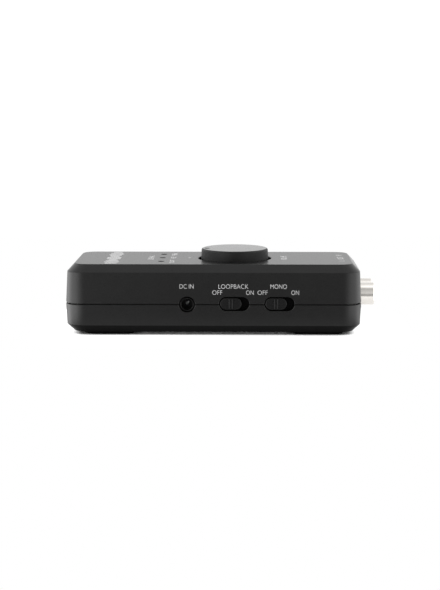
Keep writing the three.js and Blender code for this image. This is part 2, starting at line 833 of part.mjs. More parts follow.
corners(BOARD_SCREW.x, BOARD_SCREW.y).forEach(([x, y], i) => {
  const made = screw(BOARD_SCREW.head, BOARD_SCREW.headHeight, BOARD_SCREW.shank, 4.2);
  const flipped = geometryOf(made).rotateX(Math.PI);
  place(`board_screw_${i + 1}`, flipped, "steel", [
    x,
    y,
    BOARD_TOP + SEAT + BOARD_SCREW.headHeight,
  ]);
});

// The phono barrels stand out past the right end, so the case sits off the whole object's middle.
unit.position.x = -(PHONO.endX - RIGHT) / 2;

const model = new THREE.Group();
model.add(unit);

export default model;
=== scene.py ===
"""A palm-sized desktop audio interface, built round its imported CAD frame."""

import json
import math

import bmesh
import bpy
from mathutils import Matrix, Vector


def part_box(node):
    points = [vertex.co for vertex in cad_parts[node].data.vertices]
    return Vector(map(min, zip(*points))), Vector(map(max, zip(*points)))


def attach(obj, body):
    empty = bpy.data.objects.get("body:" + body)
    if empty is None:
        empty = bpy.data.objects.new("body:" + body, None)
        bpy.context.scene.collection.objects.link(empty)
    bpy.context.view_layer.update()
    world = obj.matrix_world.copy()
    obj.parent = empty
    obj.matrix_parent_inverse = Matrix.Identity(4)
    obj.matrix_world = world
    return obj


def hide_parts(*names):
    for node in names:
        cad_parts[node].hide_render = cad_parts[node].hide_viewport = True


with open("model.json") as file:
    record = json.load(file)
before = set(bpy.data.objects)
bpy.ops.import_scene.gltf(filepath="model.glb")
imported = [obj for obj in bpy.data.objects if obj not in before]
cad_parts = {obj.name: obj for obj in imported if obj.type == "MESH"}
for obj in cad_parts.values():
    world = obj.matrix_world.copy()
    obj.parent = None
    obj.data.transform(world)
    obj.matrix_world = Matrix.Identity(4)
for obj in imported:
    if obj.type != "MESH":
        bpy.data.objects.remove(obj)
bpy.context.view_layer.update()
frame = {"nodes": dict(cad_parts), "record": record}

MM = 0.001

# ---------------------------------------------------------------- places read from the frame


def middle(node):
    """The centre of a node's box."""
    low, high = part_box(node)
    return (low + high) / 2


TOP_LOW, TOP_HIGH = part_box("top_shell")
BASE_LOW, BASE_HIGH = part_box("bottom_shell")
CASE_X = (TOP_LOW.x + TOP_HIGH.x) / 2
HALF_LENGTH = (TOP_HIGH.x - TOP_LOW.x) / 2
HALF_WIDTH = (TOP_HIGH.y - TOP_LOW.y) / 2
TOP = TOP_HIGH.z
UNDERSIDE = BASE_LOW.z
FRONT = -HALF_WIDTH
LEFT = CASE_X - HALF_LENGTH
RIGHT = CASE_X + HALF_LENGTH

# ---------------------------------------------------------------- sizes of the case

SEAM_GAP = 0.4 * MM
SEAM = TOP_LOW.z - SEAM_GAP / 2
RIM_EDGE = 0.2 * MM  # rounding where each shell meets the seam

WALL = 2.0 * MM
CORNER = 6.0 * MM  # plan radius at the seam
FACE_CORNER = 4.6 * MM  # plan radius at the flat top and underside
EDGE = 0.3 * MM  # rounding along both edges of each chamfer

TOP_DRAFT = 0.58 * MM
TOP_CHAMFER_INSET = 2.58 * MM
TOP_CHAMFER = TOP - 2.75 * MM
BASE_DRAFT = 0.34 * MM
BASE_CHAMFER_INSET = 2.6 * MM
BASE_CHAMFER = UNDERSIDE + 2.7 * MM

TONGUE = 0.9 * MM  # thickness of the lip that closes the seam from inside
TONGUE_GAP = 0.3 * MM

CORNER_POWER = 2.6  # of the superellipse at the case's corners
CORNER_REACH = 1.27  # how far each starts from the corner, in radii
LEAST_CORNER = 1.2 * MM  # no corner of the shells is tighter than this in plan

# ---------------------------------------------------------------- sizes used throughout

MOUTH = 0.22 * MM  # rounding round each opening in the walls
PAST = 1.0 * MM  # how far a cutter or a joined solid goes past the face it works on
HAIR = 0.001 * MM  # how far a fully rounded end is from a half circle
CAD_WELD = 0.001 * MM  # points of a CAD node nearer together than this are one
SLIT_EDGE = 0.01 * MM  # softening of the thin cutters that make slits
SAME_POINT = 1e-7  # points nearer together than this, in metres, are one
SHARP_ANGLE = math.radians(35)  # edges that bend more than this are shaded as sharp

CORNER_STEPS = 24
EDGE_STEPS = 5
SIDES = 96
KNOB_SIDES = 160
SMALL_SIDES = 40
TINY_SIDES = 24

# ---------------------------------------------------------------- materials


def nodes_of(name):
    """A new material with its node tree and its shader."""
    material = bpy.data.materials.new(name)
    material.use_nodes = True
    tree = material.node_tree
    return material, tree, tree.nodes["Principled BSDF"]


def add(tree, kind, **inputs):
    """A shader node with its input sockets set by name."""
    node = tree.nodes.new(kind)
    for socket, value in inputs.items():
        node.inputs[socket.replace("_", " ")].default_value = value
    return node


def noise(tree, size, detail=3.0, stretch=(1, 1, 1)):
    """Noise with features of a given size in metres, in the piece's own coordinates."""
    place = tree.nodes.new("ShaderNodeTexCoord")
    mapping = tree.nodes.new("ShaderNodeMapping")
    mapping.inputs["Scale"].default_value = stretch
    texture = add(tree, "ShaderNodeTexNoise", Scale=1 / size, Detail=detail)
    tree.links.new(place.outputs["Object"], mapping.inputs["Vector"])
    tree.links.new(mapping.outputs["Vector"], texture.inputs["Vector"])
    return texture.outputs["Fac"]


def spread(tree, source, low, high):
    """A 0 to 1 value spread between two numbers."""
    remap = add(tree, "ShaderNodeMapRange", To_Min=low, To_Max=high, From_Min=0.3, From_Max=0.7)
    tree.links.new(source, remap.inputs["Value"])
    return remap.outputs["Result"]


def tint(tree, source, dark, light):
    """A 0 to 1 value as a colour between two."""
    ramp = tree.nodes.new("ShaderNodeValToRGB")
    ramp.color_ramp.elements[0].position = 0.35
    ramp.color_ramp.elements[0].color = (*dark, 1)
    ramp.color_ramp.elements[1].position = 0.65
    ramp.color_ramp.elements[1].color = (*light, 1)
    tree.links.new(source, ramp.inputs["Fac"])
    return ramp.outputs["Color"]


def bump(tree, shader, source, depth):
    """Gives a shader relief of a depth in metres."""
    node = add(tree, "ShaderNodeBump", Strength=1.0, Distance=depth)
    tree.links.new(source, node.inputs["Height"])
    tree.links.new(node.outputs["Normal"], shader.inputs["Normal"])


def surface(name, dark, light, roughness, grain, relief, patch=4 * MM, stretch=(1, 1, 1), **fixed):
    """A material with patchy colour and roughness and a fine relief.

    roughness is its lowest and highest value, grain the size of the relief's features, relief
    their depth, and fixed holds the shader's other inputs.
    """
    material, tree, shader = nodes_of(name)
    patches = noise(tree, patch)
    fine = noise(tree, grain, 2.0, stretch)
    tree.links.new(tint(tree, patches, dark, light), shader.inputs["Base Color"])
    tree.links.new(spread(tree, fine, *roughness), shader.inputs["Roughness"])
    bump(tree, shader, fine, relief)
    for socket, value in fixed.items():
        shader.inputs[socket.replace("_", " ")].default_value = value
    return material


def grey(level):
    return (level, level, level)


TURNING_MARKS = (1, 0.02, 0.02)  # stretches the noise into rings along the barrels

CASE_PLASTIC = surface(
    "case_plastic", grey(0.002), grey(0.0026), (0.27, 0.33), 0.22 * MM, 0.004 * MM,
    Specular_IOR_Level=0.23,
)
# A darker, less glossy copy of the case plastic for the faces turned down: painted shade.
UNDERSIDE_PAINTED_SHADE_PLASTIC = surface(
    "underside_painted_shade_plastic", grey(0.0008), grey(0.0012), (0.3, 0.36), 0.22 * MM, 0.004 * MM,
    Specular_IOR_Level=0.03,
)
KNOB_PLASTIC = surface(
    "knob_plastic", grey(0.0022), grey(0.0028), (0.14, 0.2), 0.18 * MM, 0.001 * MM,
    Specular_IOR_Level=0.15,
)
KNOB_SIDE_PLASTIC = surface(
    "knob_side_plastic", grey(0.0022), grey(0.0028), (0.46, 0.54), 0.18 * MM, 0.003 * MM,
    Specular_IOR_Level=0.16,
)
SLIDER_PLASTIC = surface(
    "slider_plastic", grey(0.0022), grey(0.003), (0.26, 0.32), 0.2 * MM, 0.002 * MM,
    Specular_IOR_Level=0.15,
)
# A darker, less glossy copy of the slider plastic for the shutter set back behind the wall: painted
# shade.
SHUTTER_PAINTED_SHADE_PLASTIC = surface(
    "shutter_painted_shade_plastic", grey(0.0008), grey(0.0012), (0.6, 0.7), 0.2 * MM, 0.003 * MM,
    Specular_IOR_Level=0.03,
)
SOCKET_PLASTIC = surface(
    "socket_plastic", grey(0.0008), grey(0.0012), (0.2, 0.28), 0.3 * MM, 0.002 * MM,
    Specular_IOR_Level=0.15,
)
RUBBER = surface(
    "rubber", grey(0.002), grey(0.0035), (0.75, 0.9), 0.25 * MM, 0.012 * MM,
    Specular_IOR_Level=0.05,
)
NICKEL = surface(
    "nickel", (0.66, 0.635, 0.6), (0.7, 0.675, 0.64), (0.14, 0.22), 0.12 * MM, 0.0006 * MM,
    stretch=TURNING_MARKS, Metallic=1.0,
)
# A near-black metal for the contact deep in the power socket's bore: painted shade.
BORE_PAINTED_SHADE_METAL = surface(
    "bore_painted_shade_metal", grey(0.06), grey(0.09), (0.45, 0.55), 0.15 * MM, 0.002 * MM, Metallic=1.0,
)
# A darker copy of the nickel for the pin down in the power socket: painted shade that dims its
# glints.
PIN_PAINTED_SHADE_METAL = surface(
    "pin_painted_shade_metal", grey(0.42), grey(0.5), (0.3, 0.4), 0.15 * MM, 0.002 * MM, Metallic=1.0,
)
STEEL = surface(
    "steel", grey(0.42), grey(0.5), (0.3, 0.42), 0.2 * MM, 0.002 * MM, Metallic=1.0,
)
GOLD = surface(
    "gold", (0.7, 0.46, 0.16), (0.76, 0.52, 0.2), (0.18, 0.26), 0.2 * MM, 0.001 * MM,
    Metallic=1.0,
)
TIN_CAN = surface(
    "tin_can", grey(0.55), grey(0.62), (0.25, 0.35), 0.2 * MM, 0.001 * MM, Metallic=1.0,
)
WHITE_PLASTIC = surface(
    "white_plastic", grey(0.72), grey(0.78), (0.3, 0.36), 0.4 * MM, 0.002 * MM,
)
RED_PLASTIC = surface(
    "red_plastic", (0.40, 0.012, 0.014), (0.46, 0.016, 0.018), (0.3, 0.36), 0.4 * MM, 0.002 * MM,
)
BOARD = surface(
    "circuit_board", (0.006, 0.05, 0.02), (0.012, 0.075, 0.03), (0.3, 0.42), 0.5 * MM, 0.01 * MM,
    patch=1.2 * MM,
)
CHIP = surface(
    "chip", grey(0.01), grey(0.014), (0.45, 0.55), 0.1 * MM, 0.004 * MM,
)
LENS = surface(
    "smoked_lens", grey(0.006), grey(0.009), (0.1, 0.14), 0.6 * MM, 0.001 * MM,
)
# The front and top print are one ink in two copies: the darker front copy is painted shade, the
# lighter top copy painted light.
FRONT_INK_PAINTED_SHADE = surface(
    "front_ink_painted_shade", grey(0.29), grey(0.34), (0.5, 0.6), 0.15 * MM, 0.002 * MM,
)
TOP_INK_PAINTED_LIGHT = surface(
    "top_ink_painted_light", grey(0.44), grey(0.5), (0.5, 0.6), 0.15 * MM, 0.002 * MM,
)

SLOT_MATERIALS = {
    "case": CASE_PLASTIC,
    "knob": KNOB_PLASTIC,
    "slider": SLIDER_PLASTIC,
    "socket_plastic": SOCKET_PLASTIC,
    "rubber": RUBBER,
    "nickel": NICKEL,
    "gold": GOLD,
    "steel": STEEL,
    "white_plastic": WHITE_PLASTIC,
    "red_plastic": RED_PLASTIC,
    "circuit_board": BOARD,
    "chip": CHIP,
    "can": TIN_CAN,
    "lens": LENS,
}

SLOT_OF = {part["node"]: part["material_slot"] for part in frame["record"]["subparts"]}
for node, shape in frame["nodes"].items():
    shape.data.materials.clear()
    shape.data.materials.append(SLOT_MATERIALS[SLOT_OF[node]])

# ---------------------------------------------------------------- outlines


def circle(radius, height, sides):
    turn = 2 * math.pi / sides
    return [
        Vector((radius * math.cos(i * turn), radius * math.sin(i * turn), height))
        for i in range(sides)
    ]


def rounded_rectangle(half_x, half_y, radius, height, steps=CORNER_STEPS):
    quarter = math.pi / 2
    centres = [
        (half_x - radius, half_y - radius),
        (radius - half_x, half_y - radius),
        (radius - half_x, radius - half_y),
        (half_x - radius, radius - half_y),
    ]
    return [
        Vector((
            x + radius * math.cos((corner + step / steps) * quarter),
            y + radius * math.sin((corner + step / steps) * quarter),
            height,
        ))
        for corner, (x, y) in enumerate(centres)
        for step in range(steps + 1)
    ]


def eased_rectangle(half_x, half_y, radius, height):
    """A rounded rectangle whose corners bend in gradually.

    Each corner is a superellipse that passes where an arc of the given radius would.
    """
    reach = radius * CORNER_REACH
    corner = [
        (
            reach * math.cos(step / CORNER_STEPS * math.pi / 2) ** (2 / CORNER_POWER),
            reach * math.sin(step / CORNER_STEPS * math.pi / 2) ** (2 / CORNER_POWER),
        )
        for step in range(CORNER_STEPS)
    ] + [(0.0, reach)]
    x = half_x - reach
    y = half_y - reach
    return (
        [Vector((x + a, y + b, height)) for a, b in corner]
        + [Vector((-x - b, y + a, height)) for a, b in corner]
        + [Vector((-x - a, -y - b, height)) for a, b in corner]
        + [Vector((x + b, -y - a, height)) for a, b in corner]
    )


def softened(points, radii, steps=EDGE_STEPS, closed=False):
    """A 2-D outline with its corners rounded. A radius of 0 keeps a corner sharp."""
    made = []
    count = len(points)
    for i, radius in enumerate(radii):
        here = Vector(points[i])
        if radius == 0 or (not closed and i in (0, count - 1)):
            made.append(here)
            continue
        back = (Vector(points[i - 1]) - here).normalized()
        ahead = (Vector(points[(i + 1) % count]) - here).normalized()
        half_angle = back.angle(ahead) / 2
        reach = radius / math.tan(half_angle)
        centre = here + (back + ahead).normalized() * radius / math.sin(half_angle)
        start = here + back * reach - centre
        end = here + ahead * reach - centre
        sweep = start.angle_signed(end)
        for step in range(steps + 1):
            angle = -sweep * step / steps
            turned_arm = Vector((
                start.x * math.cos(angle) - start.y * math.sin(angle),
                start.x * math.sin(angle) + start.y * math.cos(angle),
            ))
            made.append(centre + turned_arm)
    return made


# ---------------------------------------------------------------- meshes

UPRIGHT = Matrix.Identity(4)
TO_FRONT = Matrix.Rotation(math.pi / 2, 4, "X")
TO_RIGHT = Matrix.Rotation(math.pi / 2, 4, "Z") @ TO_FRONT
TO_LEFT = Matrix.Rotation(-math.pi / 2, 4, "Z") @ TO_FRONT


def skin(rings, place, wrap=False):
    """A closed bmesh over rings of points. wrap joins the last ring to the first."""
    mesh = bmesh.new()
    loops = [[mesh.verts.new(place @ point) for point in ring] for ring in rings]
    pairs = list(zip(loops, loops[1:]))
    if wrap:
        pairs.append((loops[-1], loops[0]))
    for lower, upper in pairs:
        count = len(lower)
        for i in range(count):
            following = (i + 1) % count
            mesh.faces.new((lower[i], lower[following], upper[following], upper[i]))
    if not wrap:
        mesh.faces.new(loops[0][::-1])
        mesh.faces.new(loops[-1])
    bmesh.ops.remove_doubles(mesh, verts=mesh.verts, dist=SAME_POINT)
    bmesh.ops.recalc_face_normals(mesh, faces=mesh.faces)
    return mesh


def turned(profile, place, sides=SIDES, wrap=False):
    """A turned solid from (radius, height) points."""
    return skin([circle(radius, height, sides) for radius, height in profile], place, wrap)


def disc(radius, low, high, place, sides=SIDES):
    """A plain turned solid between two heights."""
    return turned([(0, low), (radius, low), (radius, high), (0, high)], place, sides)


def round_nose(radius, back, edge, place):
    """A turned solid from a height up to 0, where its rim is rounded."""
    profile = [(0, back), (radius, back), (radius, 0), (0, 0)]
    return turned(softened(profile, [0, 0, edge, 0]), place)


def tube(outer, inner, length, outer_edge, inner_edge, place, sides=SIDES):
    """An open tube with a rounded far rim."""
    profile = softened(
        [(inner, 0), (outer, 0), (outer, length), (inner, length)],
        [0, 0, outer_edge, inner_edge],
        closed=True,
    )
    return turned(profile, place, sides, wrap=True)


def at(x, y, z, turn=UPRIGHT):
    """A transform that turns something and then moves it."""
    return Matrix.Translation((x, y, z)) @ turn


def slab(half_x, half_y, radius, low, high, place, edge=0.0, steps=CORNER_STEPS):
    """A rounded rectangle with height, and a rounded upper edge."""
    levels = [(0.0, low)]
    if edge:
        bends = [step / EDGE_STEPS * math.pi / 2 for step in range(EDGE_STEPS + 1)]
        levels += [
            (edge * (1 - math.cos(bend)), high - edge * (1 - math.sin(bend))) for bend in bends
        ]
    else:
        levels.append((0.0, high))
    return skin(
        [
            rounded_rectangle(half_x - inset, half_y - inset, radius - inset, height, steps)
            for inset, height in levels
        ],
        place,
    )


def brick(size, centre, edge=0.1 * MM):
    """A box with softened edges."""
    mesh = bmesh.new()
    bmesh.ops.create_cube(mesh, size=1.0)
    bmesh.ops.scale(mesh, vec=size, verts=mesh.verts)
    bmesh.ops.translate(mesh, vec=centre, verts=mesh.verts)
    bmesh.ops.bevel(
        mesh, geom=mesh.edges[:], offset=edge, segments=2, affect="EDGES", profile=0.5,
    )
    return mesh


def flared(depth, flare):
    """How much a cutter grows, and at what height, so that its mouth at height 0 is rounded."""
    bends = [step / EDGE_STEPS * math.pi / 2 for step in range(1, EDGE_STEPS + 1)]
    return [
        (0.0, -depth),
        (0.0, -flare),
        *((flare * (1 - math.cos(bend)), -flare * (1 - math.sin(bend))) for bend in bends),
        (flare, PAST),
    ]


def hole(half_x, half_y, radius, depth, place, flare=MOUTH):
    """A cutter for an opening with rounded corners and a rounded mouth."""
    return skin(
        [
            rounded_rectangle(half_x + grown, half_y + grown, radius + grown, height)
            for grown, height in flared(depth, flare)
        ],
        place,
    )


def round_hole(radius, depth, place, flare=MOUTH, sides=SIDES):
    """A cutter for a round opening with a rounded mouth."""
    side = [(radius + grown, height) for grown, height in flared(depth, flare)]
    return turned([(0, -depth), *side, (0, PAST)], place, sides)


def stored(mesh, name):
    data = bpy.data.meshes.new(name)
    mesh.to_mesh(data)
    mesh.free()
    shape = bpy.data.objects.new(name, data)
    bpy.context.scene.collection.objects.link(shape)
    return shape


def removed(shape):
    """Takes an object and its mesh out of the file."""
    data = shape.data
    bpy.data.objects.remove(shape)
    bpy.data.meshes.remove(data)


def combine(body, tools, operation):
    """The body joined with or cut by each tool, all of them bmeshes."""
    main = stored(body, "work")
    for tool in tools:
        helper = stored(tool, "tool")
        modifier = main.modifiers.new("cut", "BOOLEAN")
        modifier.operation = operation
        modifier.solver = "MANIFOLD"
        modifier.object = helper
        bpy.context.view_layer.update()
        graph = bpy.context.evaluated_depsgraph_get()
        result = bpy.data.meshes.new_from_object(main.evaluated_get(graph))
        main.modifiers.clear()
        spent = main.data
        main.data = result
        bpy.data.meshes.remove(spent)
        removed(helper)
    mesh = bmesh.new()
    mesh.from_mesh(main.data)
    removed(main)
    bmesh.ops.remove_doubles(mesh, verts=mesh.verts, dist=2 * SAME_POINT)
    bmesh.ops.dissolve_degenerate(mesh, edges=mesh.edges, dist=2 * SAME_POINT)
    return mesh


def cut(body, *tools):
    return combine(body, tools, "DIFFERENCE")


def join(body, *tools):
    return combine(body, tools, "UNION")


def together(*meshes):
    """Separate closed solids held in one mesh."""
    whole = bmesh.new()
    for mesh in meshes:
        data = bpy.data.meshes.new("part")
        mesh.to_mesh(data)
        mesh.free()
        whole.from_mesh(data)
        bpy.data.meshes.remove(data)
    return whole


def piece(name, mesh, *nodes, slot=None, body="case", material=None):
    """A shown piece that rides on a body, stands for CAD nodes and takes a record slot's finish."""
    shape = stored(mesh, name)
    shape.data.materials.append(material or SLOT_MATERIALS[slot])
    shape.data.shade_smooth()
    shape.data.set_sharp_from_angle(angle=SHARP_ANGLE)
    weighted = shape.modifiers.new("even_shading", "WEIGHTED_NORMAL")
    weighted.keep_sharp = True
    weighted.weight = 100
    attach(shape, body)
    if nodes:
        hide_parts(*nodes)
    return shape


# ---------------------------------------------------------------- case outline

CASE_PLACE = at(CASE_X, 0, 0)


def between(value, low, high, at_low, at_high):
    """What a measure that runs evenly from one end to the other comes to at a value."""
    share = (value - low) / (high - low)
    return at_low + (at_high - at_low) * share


def plan(inset, height, radius):
    """The case's outline at a height, as a ring of points."""
    return eased_rectangle(
        HALF_LENGTH - inset, HALF_WIDTH - inset, max(radius, LEAST_CORNER), height
    )


def upper_radius(height):
    """The plan radius of the top shell's corners at a height."""
    if height < TOP_CHAMFER:
        return between(height, SEAM, TOP_CHAMFER, CORNER, CORNER - TOP_DRAFT)
    return between(height, TOP_CHAMFER, TOP, CORNER - TOP_DRAFT, FACE_CORNER)


def lower_radius(height):
    """The plan radius of the bottom shell's corners at a height."""
    if height > BASE_CHAMFER:
        return between(height, SEAM, BASE_CHAMFER, CORNER, CORNER - BASE_DRAFT)
    return between(height, BASE_CHAMFER, UNDERSIDE, CORNER - BASE_DRAFT, FACE_CORNER)


def upper_lean(height):
    """How far the upper wall has leaned in at a height."""
    return between(height, SEAM, TOP_CHAMFER, 0.0, TOP_DRAFT)


def lofted(profile, radius_at):
    """A solid from (inset, height) points, about the case's middle."""
    return skin(
        [plan(inset, height, radius_at(height)) for inset, height in profile], CASE_PLACE
    )


def band(outer, inner, low, high):
    """A ring that follows the case's wall, between two insets."""
    return cut(
        skin([plan(outer, z, CORNER - outer) for z in (low, high)], CASE_PLACE),
        skin([plan(inner, z, CORNER - inner) for z in (low - PAST, high + PAST)], CASE_PLACE),
    )


# ---------------------------------------------------------------- openings in the walls

SWITCHES = ("loopback", "mono")
APERTURE = Vector((10.7, 5.0)) * MM / 2
SWITCH_Z = middle("loopback_slider").z
DC_AT = middle("dc_socket_pin")
DC_HOLE = 5.7 * MM / 2
DC_HOLE_INSET = 0.05 * MM  # how far its mouth lies behind the wall's face at the seam
PHONO_HOLE = 8.9 * MM / 2
PORT_AT = middle("device_port_shield")
PORT_HOLE = 12.2 * MM / 2
HEADSET_AT = middle("headset_socket_ferrule")
HEADSET_HOLE = 6.7 * MM / 2
THROUGH = 5.0 * MM


def wall_openings():
    """Cutters for every opening in the four walls, used on both shells."""
    lean = upper_lean(SWITCH_Z + APERTURE.y)
    tools = [
        hole(
            APERTURE.x, APERTURE.y, APERTURE.y - HAIR, THROUGH,
            at(middle(f"{name}_switch_body").x, FRONT + lean / 2, SWITCH_Z, TO_FRONT),
        )
        for name in SWITCHES
    ]
    dc_mouth = at(DC_AT.x, FRONT + DC_HOLE_INSET, DC_AT.z, TO_FRONT)
    tools.append(round_hole(DC_HOLE, THROUGH, dc_mouth))
    for end in ("front", "rear"):
        centre = middle(f"phono_barrel_{end}")
        lean = upper_lean(centre.z)
        tools.append(
            round_hole(PHONO_HOLE, THROUGH, at(RIGHT - lean, centre.y, centre.z, TO_RIGHT))
        )
    lean = upper_lean(PORT_AT.z)
    tools.append(round_hole(PORT_HOLE, THROUGH, at(LEFT + lean, PORT_AT.y, PORT_AT.z, TO_LEFT)))
    tools.append(round_hole(HEADSET_HOLE, THROUGH, at(LEFT, HEADSET_AT.y, HEADSET_AT.z, TO_LEFT)))
    return tools


# ---------------------------------------------------------------- top shell

KNOB_LOW, KNOB_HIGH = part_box("volume_knob")
KNOB_X = middle("volume_knob").x
KNOB_PLACE = at(KNOB_X, 0, 0)
KNOB_GAP = 0.4 * MM  # below the knob
WELL = 26.8 * MM / 2
WELL_FLOOR = KNOB_LOW.z - KNOB_GAP
WELL_SKIN = 1.6 * MM
WELL_MOUTH = 0.3 * MM
NECK = 8.0 * MM / 2  # hole in the well's floor, for the shaft
NECK_DEPTH = 3.0 * MM
HOLLOW_BEND = 0.8 * MM  # how far the hollow's bends lie off the chamfer's
LED_PLACES = ("front", "middle", "rear")
LEDS = [middle(f"level_light_pipe_{where}") for where in LED_PLACES]
LED_HOLE = 2.3 * MM / 2
LED_HOLE_DEPTH = 3.0 * MM
LED_MOUTH = 0.12 * MM


def top_shell():
    """The upper half of the case, with the knob's well hanging in its hollow."""
    rim = SEAM + SEAM_GAP / 2
    top_inset = TOP_DRAFT + TOP_CHAMFER_INSET
    outside = softened(
        [
            (upper_lean(rim) + WALL, rim),
            (upper_lean(rim), rim),
            (TOP_DRAFT, TOP_CHAMFER),
            (top_inset, TOP),
            (top_inset + 2 * WALL, TOP),
        ],
        [0, RIM_EDGE, EDGE, EDGE, 0],
    )
    hollow = [
        (WALL, rim - PAST),
        (WALL + TOP_DRAFT, TOP_CHAMFER - HOLLOW_BEND),
        (WALL + top_inset - HOLLOW_BEND, TOP - WALL),
    ]
    rebate = band(
        WALL - TONGUE - TONGUE_GAP, WALL + PAST, rim - PAST, BASE_HIGH.z + TONGUE_GAP,
    )
    cup = disc(WELL + WELL_SKIN, WELL_FLOOR - WELL_SKIN, TOP - PAST, KNOB_PLACE)
    well = round_hole(WELL, TOP - WELL_FLOOR, at(KNOB_X, 0, TOP), WELL_MOUTH, KNOB_SIDES)
    neck = disc(NECK, WELL_FLOOR - NECK_DEPTH, WELL_FLOOR + PAST, KNOB_PLACE)
    windows = [
        round_hole(LED_HOLE, LED_HOLE_DEPTH, at(led.x, led.y, TOP), LED_MOUTH, SMALL_SIDES)
        for led in LEDS
    ]
    shell = cut(lofted(outside, upper_radius), lofted(hollow, upper_radius), rebate)
    shell = join(shell, cup)
    return cut(shell, well, neck, *windows, *wall_openings())


piece("top_shell_cover", top_shell(), "top_shell", slot="case")

# ---------------------------------------------------------------- bottom shell

PADS = ("foot_pad_left", "foot_pad_right")
UNDERSIDE_SLOPE = -0.5  # chamfer and underside faces whose normal dips below this are matt, and take a darker copy of the case plastic: painted shade
PAD_CORNER = 3.0 * MM
PAD_EDGE = 0.35 * MM
PAD_GAP = 0.3 * MM
PAD_RECESS = 0.5 * MM


def bottom_shell():
    """The lower half of the case, with the lip that closes the seam and the pads' recesses."""
    rim = SEAM - SEAM_GAP / 2
    base_inset = BASE_DRAFT + BASE_CHAMFER_INSET
    outside = softened(
        [
            (base_inset + 2 * WALL, UNDERSIDE),
            (base_inset, UNDERSIDE),
            (BASE_DRAFT, BASE_CHAMFER),
            (0.0, rim),
            (WALL, rim),
        ],
        [0, EDGE, EDGE, RIM_EDGE, 0],
    )
    hollow = [
        (WALL + base_inset - HOLLOW_BEND, UNDERSIDE + WALL),
        (WALL + BASE_DRAFT, BASE_CHAMFER + HOLLOW_BEND),
        (WALL, rim + PAST),
    ]
    recesses = []
    for pad in PADS:
        low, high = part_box(pad)
        size = (high - low) / 2
        recesses.append(
            slab(
                size.x + PAD_GAP, size.y + PAD_GAP, PAD_CORNER + PAD_GAP,
                UNDERSIDE - PAST, UNDERSIDE + PAD_RECESS, at(middle(pad).x, 0, 0),
            )
        )
    tongue = band(WALL - TONGUE, WALL, rim - PAST, BASE_HIGH.z)
    shell = join(cut(lofted(outside, lower_radius), lofted(hollow, lower_radius)), tongue)
    return cut(shell, *recesses, *wall_openings())


base = piece("bottom_shell_cover", bottom_shell(), "bottom_shell", slot="case")
# The faces turned down below the chamfer take the darker copy of the case plastic: painted shade.
base.data.materials.append(UNDERSIDE_PAINTED_SHADE_PLASTIC)
for face in base.data.polygons:
    if face.normal.z < UNDERSIDE_SLOPE and face.center.z < BASE_CHAMFER:
        face.material_index = 1

for pad in PADS:
    low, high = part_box(pad)
    size = (high - low) / 2
    flip = Matrix.Rotation(math.pi, 4, "X")
    piece(
        pad.replace("foot_pad", "rubber_foot"),
        slab(size.x, size.y, PAD_CORNER, -high.z, 0, at(middle(pad).x, 0, 0, flip), PAD_EDGE),
        pad,
        slot="rubber",
    )

# ---------------------------------------------------------------- volume knob

KNOB_TOP_RADIUS = 24.3 * MM / 2
KNOB_EDGE = 0.7 * MM
KNOB_TOP_SLOPE = 0.93  # faces that lean more than this are the matt side
KNOB_DROP = 0.15 * MM  # its top face is this far below the frame's box
KNOB_WALL = 1.8 * MM
KNOB_EDGE_STEPS = 8
KNOB_INSIDE_EDGE = 0.5 * MM
KNOB_SKIRT_EDGES = (0.2 * MM, 0.3 * MM)  # rounding inside and outside its lower rim
KNOB_HUB = 5.5 * MM
KNOB_HUB_RISE = 0.6 * MM  # how far the hub ends above the lower rim
KNOB_BORE = 3.2 * MM
POINTER_RADIUS = 10.2 * MM
POINTER_ANGLE = math.radians(187)
POINTER_SIZE = 1.9 * MM / 2
POINTER_DEPTH = 0.5 * MM
POINTER_MOUTH = 0.1 * MM


def volume_knob():
    """The hollow cap with its hub and the dimple that points."""
    base = (KNOB_HIGH.x - KNOB_LOW.x) / 2
    low, high = KNOB_LOW.z, KNOB_HIGH.z - KNOB_DROP
    outside = softened(
        [
            (0, high - KNOB_WALL),
            (KNOB_TOP_RADIUS - KNOB_WALL, high - KNOB_WALL),
            (base - KNOB_WALL, low),
            (base, low),
            (KNOB_TOP_RADIUS, high),
            (0, high),
        ],
        [0, KNOB_INSIDE_EDGE, *KNOB_SKIRT_EDGES, KNOB_EDGE, 0],
        steps=KNOB_EDGE_STEPS,
    )
    hub = disc(KNOB_HUB, low + KNOB_HUB_RISE, high - PAST, KNOB_PLACE)
    bore = disc(KNOB_BORE, low - PAST, high - KNOB_WALL, KNOB_PLACE)
    pointer_at = at(
        KNOB_X + POINTER_RADIUS * math.cos(POINTER_ANGLE),
        POINTER_RADIUS * math.sin(POINTER_ANGLE),
        high,
    )
    pointer = round_hole(POINTER_SIZE, POINTER_DEPTH, pointer_at, POINTER_MOUTH, SMALL_SIDES)
    return cut(join(turned(outside, KNOB_PLACE, KNOB_SIDES), hub), bore, pointer)


knob = piece("volume_knob_cap", volume_knob(), "volume_knob", slot="knob", body="volume_control")
knob.data.materials.append(KNOB_SIDE_PLASTIC)
for face in knob.data.polygons:
    if face.normal.z < KNOB_TOP_SLOPE:
        face.material_index = 1

# ---------------------------------------------------------------- slide switches

